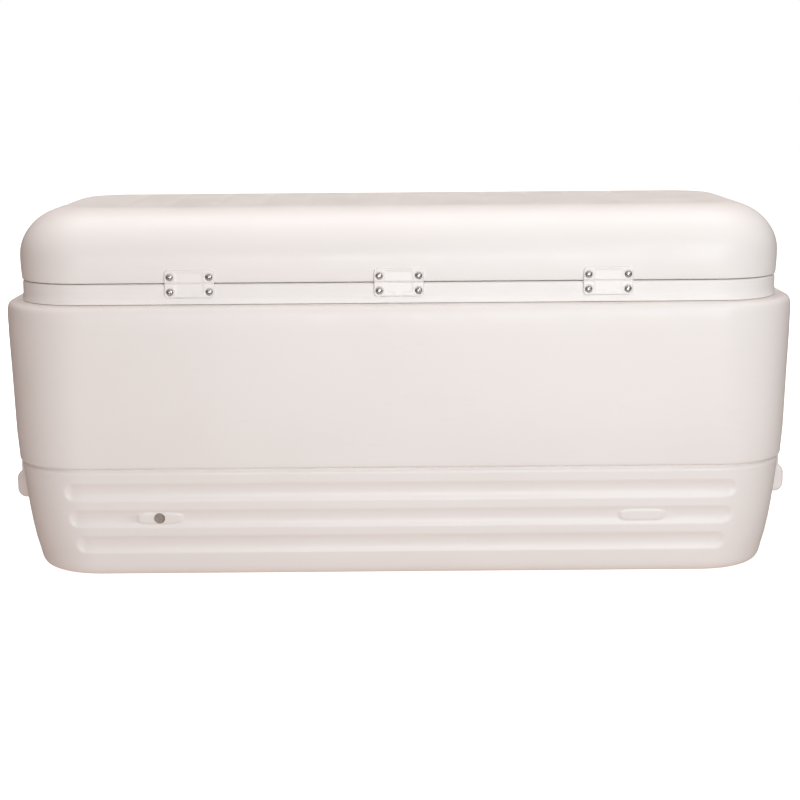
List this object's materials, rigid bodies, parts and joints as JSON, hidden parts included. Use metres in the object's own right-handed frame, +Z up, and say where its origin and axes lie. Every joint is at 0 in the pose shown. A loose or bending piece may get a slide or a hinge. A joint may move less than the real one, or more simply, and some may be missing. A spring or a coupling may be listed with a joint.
{
  "type": "chest cooler",
  "caption": "Large white insulated chest cooler with a hinged domed lid, grooved lower band, swing-up end handles, snap latches and a screw-cap drain.",
  "frame": {"origin": "centre of the underside, on the surface the cooler stands on", "axes": "+X along the length, +Y towards the hinge side (back), -Y towards the latches (front), +Z up"},
  "size_m": [0.9794, 0.437, 0.4468],
  "materials": {
    "shell_plastic": "satin, lightly grained",
    "liner_plastic": "smooth, slightly glossy",
    "hinge_plastic": "smooth flexible",
    "insulation_foam": "rigid cellular foam",
    "screw_steel": "polished",
    "port_plug_plastic": "matte",
    "handle_plastic": "satin",
    "drain_plastic": "satin",
    "seal_rubber": "matte"
  },
  "bodies": {
    "base": {"body_shell": "shell_plastic", "body_foam": "insulation_foam", "inner_liner": "liner_plastic", "fill_port_plug": "port_plug_plastic", "hinge_left_body_leaf": "hinge_plastic", "hinge_centre_body_leaf": "hinge_plastic", "hinge_right_body_leaf": "hinge_plastic", "hinge_screws_body": "screw_steel", "latch_keeper_left": "hinge_plastic", "latch_keeper_right": "hinge_plastic", "latch_keeper_screws": "screw_steel", "left_handle_bracket_front": "handle_plastic", "left_handle_bracket_back": "handle_plastic", "left_handle_pins": "screw_steel", "left_handle_screws": "screw_steel", "right_handle_bracket_front": "handle_plastic", "right_handle_bracket_back": "handle_plastic", "right_handle_pins": "screw_steel", "right_handle_screws": "screw_steel", "drain_spout": "drain_plastic", "drain_gasket": "seal_rubber", "drain_collar": "drain_plastic"},
    "lid": {"lid_shell": "shell_plastic", "lid_foam": "insulation_foam", "lid_liner": "liner_plastic", "hinge_left_lid_leaf": "hinge_plastic", "hinge_centre_lid_leaf": "hinge_plastic", "hinge_right_lid_leaf": "hinge_plastic", "hinge_screws_lid": "screw_steel", "latch_base_left": "hinge_plastic", "latch_base_right": "hinge_plastic", "latch_base_screws": "screw_steel"},
    "latch_left": {"latch_left": "hinge_plastic"},
    "latch_right": {"latch_right": "hinge_plastic"},
    "left_handle": {"left_handle": "handle_plastic"},
    "right_handle": {"right_handle": "handle_plastic"},
    "drain_seal": {"drain_cap_seal": "seal_rubber"},
    "drain_cap": {"drain_cap": "drain_plastic"}
  },
  "joints": [
    {"name": "lid_hinge", "type": "hinge", "parent": "base", "child": "lid", "pos_m": [0, 0.2034, 0.3617], "axis": [-1, 0, 0], "range_deg": [0, 110]},
    {"name": "latch_left_swing", "type": "hinge", "parent": "lid", "child": "latch_left", "pos_m": [-0.2465, -0.209, 0.383], "axis": [-1, 0, 0], "range_deg": [0, 100]},
    {"name": "latch_right_swing", "type": "hinge", "parent": "lid", "child": "latch_right", "pos_m": [0.2465, -0.209, 0.383], "axis": [-1, 0, 0], "range_deg": [0, 100]},
    {"name": "right_handle_swing", "type": "hinge", "parent": "base", "child": "right_handle", "pos_m": [0.473, 0, 0.212], "axis": [0, -1, 0], "range_deg": [0, 100]},
    {"name": "left_handle_swing", "type": "hinge", "parent": "base", "child": "left_handle", "pos_m": [-0.473, 0, 0.212], "axis": [0, 1, 0], "range_deg": [0, 100]},
    {"name": "drain_cap_travel", "type": "slide", "parent": "base", "child": "drain_seal", "axis": [1, 0, 0], "range_m": [0, 0.01]},
    {"name": "drain_cap_turn", "type": "hinge", "parent": "drain_seal", "child": "drain_cap", "pos_m": [0.46, 0, 0.034], "axis": [1, 0, 0], "range_deg": [0, 900]}
  ],
  "couplings": [
    {"joint": "drain_cap_turn", "follows": "drain_cap_travel", "rad_per_m": 1570.7}
  ]
}
